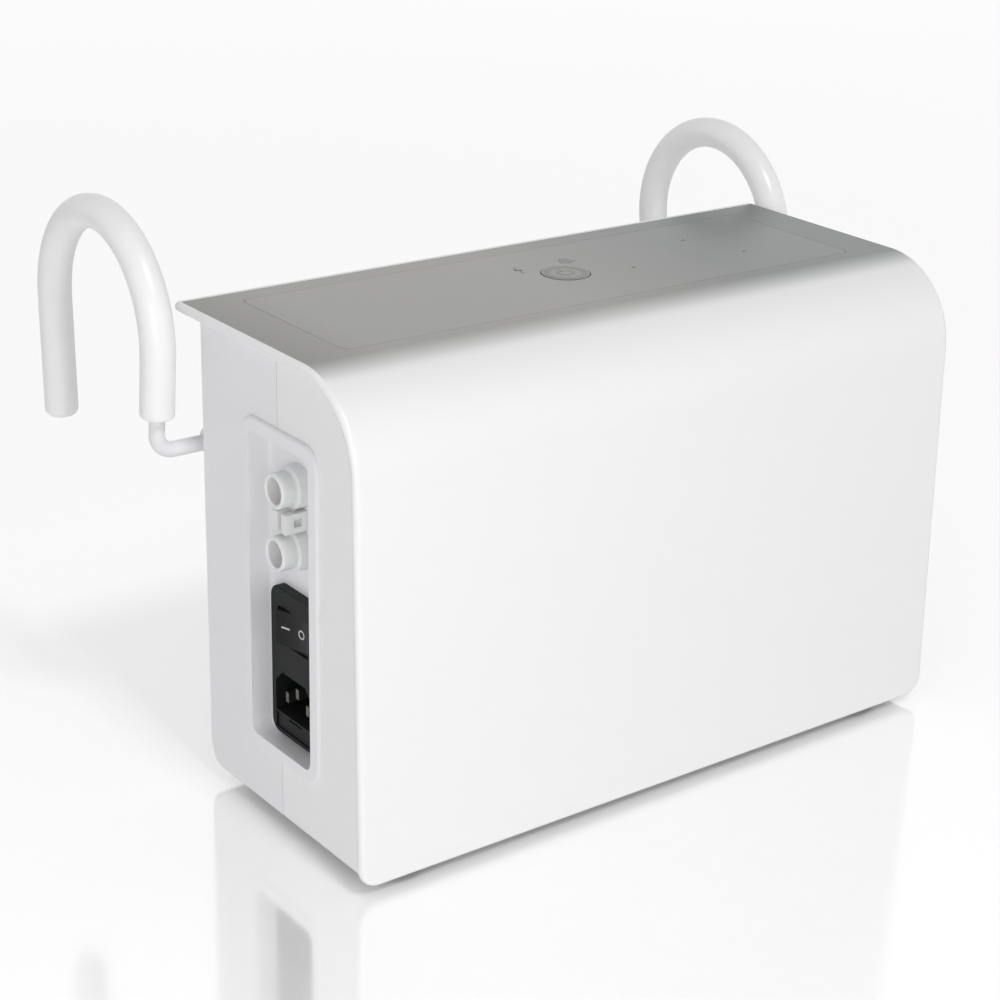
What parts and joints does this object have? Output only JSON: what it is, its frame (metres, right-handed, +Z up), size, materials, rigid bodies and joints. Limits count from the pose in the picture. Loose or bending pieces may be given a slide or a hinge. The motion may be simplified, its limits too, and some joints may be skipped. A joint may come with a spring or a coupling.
{
  "type": "air mattress pump",
  "caption": "Bed-end air mattress pump: white case with swinging rod hooks, top panel with a round key, and an end recess with air spigots, mains rocker, inlet and fuse drawer.",
  "frame": {"origin": "centre of the case footprint on the floor plane under the feet", "axes": "+X along the case away from the air ports, +Y towards the bed, +Z up"},
  "size_m": [0.321, 0.2098, 0.2237],
  "materials": {
    "cover_white": "satin",
    "case_white": "satin",
    "port_grey": "satin",
    "module_black": "satin",
    "rocker_black": "gloss",
    "pin_nickel": "polished",
    "fuse_glass": "clear",
    "film_grey": "gloss",
    "key_grey": "gloss",
    "board_green": "satin",
    "switch_black": "matte",
    "guide_clear": "gloss",
    "led_cream": "gloss",
    "rod_steel": "satin powder coat",
    "sleeve_cream": "gloss",
    "ring_steel": "bright",
    "clamp_white": "satin",
    "screw_steel": "zinc plated",
    "rubber_black": "matte",
    "foam_grey": "open cell",
    "base_alu": "as cast",
    "core_steel": "varnished laminations",
    "coil_copper": "enamelled wire",
    "arm_alu": "stamped",
    "head_black": "matte",
    "valve_white": "satin",
    "gear_white": "satin",
    "motor_steel": "plated",
    "pinion_brass": "machined",
    "parts_black": "matte",
    "transformer_iron": "varnished",
    "hose_clear": "satin",
    "lead_blue": "satin"
  },
  "bodies": {
    "case": {"front_cover": "cover_white", "rear_case": "case_white", "port_panel": "case_white", "air_ports": "port_grey", "inlet_module": "module_black", "inlet_pins": "pin_nickel", "control_film": "film_grey", "keypad_board": "board_green", "key_switch": "switch_black", "status_light_guides": "guide_clear", "status_leds": "led_cream", "rod_clamps": "clamp_white", "clamp_screws": "screw_steel", "case_screws": "screw_steel", "feet": "rubber_black", "filter_foam": "foam_grey", "pump_mounts": "rubber_black", "pump_base": "base_alu", "pump_core": "core_steel", "pump_coil": "coil_copper", "left_bellows": "rubber_black", "right_bellows": "rubber_black", "valve_heads": "head_black", "valve_body": "valve_white", "valve_bracket": "valve_white", "valve_motor": "motor_steel", "main_board": "board_green", "transformer": "transformer_iron", "board_parts": "parts_black", "air_hoses": "hose_clear", "mains_leads": "lead_blue"},
    "left_hook": {"left_hook_rod": "rod_steel", "left_hook_sleeve": "sleeve_cream", "left_rod_rings": "ring_steel"},
    "right_hook": {"right_hook_rod": "rod_steel", "right_hook_sleeve": "sleeve_cream", "right_rod_rings": "ring_steel"},
    "rocker": {"rocker_switch": "rocker_black"},
    "fuse_drawer": {"fuse_drawer": "module_black", "fuses": "fuse_glass"},
    "key": {"ring_key": "key_grey"},
    "filter_door": {"filter_door": "case_white"},
    "left_arm": {"left_magnet_arm": "arm_alu"},
    "right_arm": {"right_magnet_arm": "arm_alu"},
    "rotor": {"valve_rotor": "gear_white", "valve_gear": "gear_white"},
    "pinion": {"motor_pinion": "pinion_brass"}
  },
  "joints": [
    {"name": "left_hook_swing", "type": "hinge", "parent": "case", "child": "left_hook", "pos_m": [-0.108, 0.0634, 0.1352], "axis": [1, 0, 0], "range_deg": [-185.5, 14.5]},
    {"name": "right_hook_swing", "type": "hinge", "parent": "case", "child": "right_hook", "pos_m": [0.108, 0.0634, 0.1352], "axis": [1, 0, 0], "range_deg": [-177.5, 22.5]},
    {"name": "rocker_tilt", "type": "hinge", "parent": "case", "child": "rocker", "pos_m": [-0.12945, 0.0014, 0.081], "axis": [0, 0, -1], "range_deg": [0, 20]},
    {"name": "fuse_drawer_slide", "type": "slide", "parent": "case", "child": "fuse_drawer", "axis": [-1, 0, 0], "range_m": [0, 0.014]},
    {"name": "key_press", "type": "slide", "parent": "case", "child": "key", "axis": [0, 0, -1], "range_m": [0, 0.0006], "stiffness_N_per_m": 800},
    {"name": "filter_door_swing", "type": "hinge", "parent": "case", "child": "filter_door", "pos_m": [0.062, 0.0543, 0.043], "axis": [1, 0, 0], "range_deg": [-85, 0]},
    {"name": "left_arm_swing", "type": "hinge", "parent": "case", "child": "left_arm", "pos_m": [0.0075, -0.03, 0.0401], "axis": [0, 0, 1], "range_deg": [-1.5, 1.5], "stiffness_Nm_per_rad": 0.5},
    {"name": "right_arm_swing", "type": "hinge", "parent": "case", "child": "right_arm", "pos_m": [0.0485, -0.03, 0.0401], "axis": [0, 0, 1], "range_deg": [-1.5, 1.5], "stiffness_Nm_per_rad": 0.5},
    {"name": "rotor_spin", "type": "hinge", "parent": "case", "child": "rotor", "pos_m": [-0.06, 0.0014, 0.122], "axis": [0, 0, 1], "continuous": true},
    {"name": "pinion_spin", "type": "hinge", "parent": "case", "child": "pinion", "pos_m": [-0.06, -0.0227, 0.138], "axis": [0, 0, 1], "continuous": true}
  ],
  "couplings": [
    {"joint": "right_arm_swing", "follows": "left_arm_swing", "ratio": -1},
    {"joint": "pinion_spin", "follows": "rotor_spin", "ratio": -3}
  ]
}
